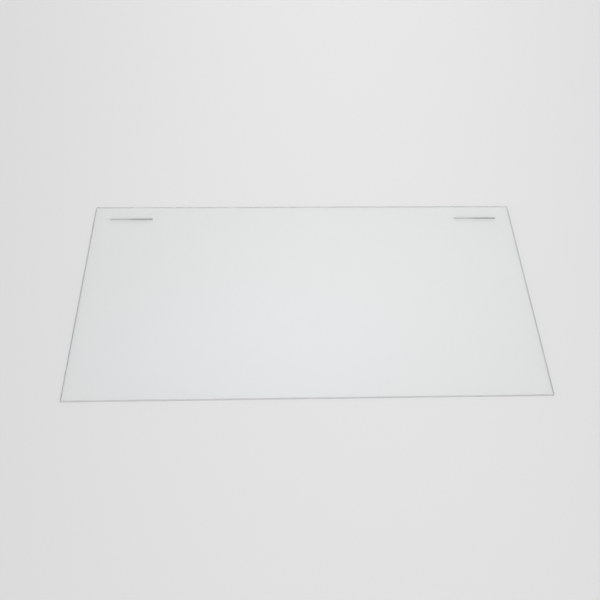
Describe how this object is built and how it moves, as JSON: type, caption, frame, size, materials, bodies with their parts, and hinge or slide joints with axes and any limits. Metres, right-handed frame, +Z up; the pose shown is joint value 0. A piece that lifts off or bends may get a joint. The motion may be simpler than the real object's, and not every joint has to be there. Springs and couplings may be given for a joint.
{
  "type": "fridge glass shelf",
  "caption": "Flat rectangular sheet of toughened glass with a ground pencil edge and dubbed corners, which lies on the ledges of a fridge as a shelf.",
  "frame": {"origin": "centre of the sheet's underside, on the surface that it lies on", "axes": "+X along the shelf's width, +Y from its front edge to its rear edge, +Z up out of its top face"},
  "size_m": [0.52, 0.256, 0.004],
  "materials": {
    "float_glass": "clear toughened float glass, polished on both faces, with satin-ground edges"
  },
  "bodies": {
    "root": {"glass_shelf": "float_glass"}
  },
  "joints": []
}
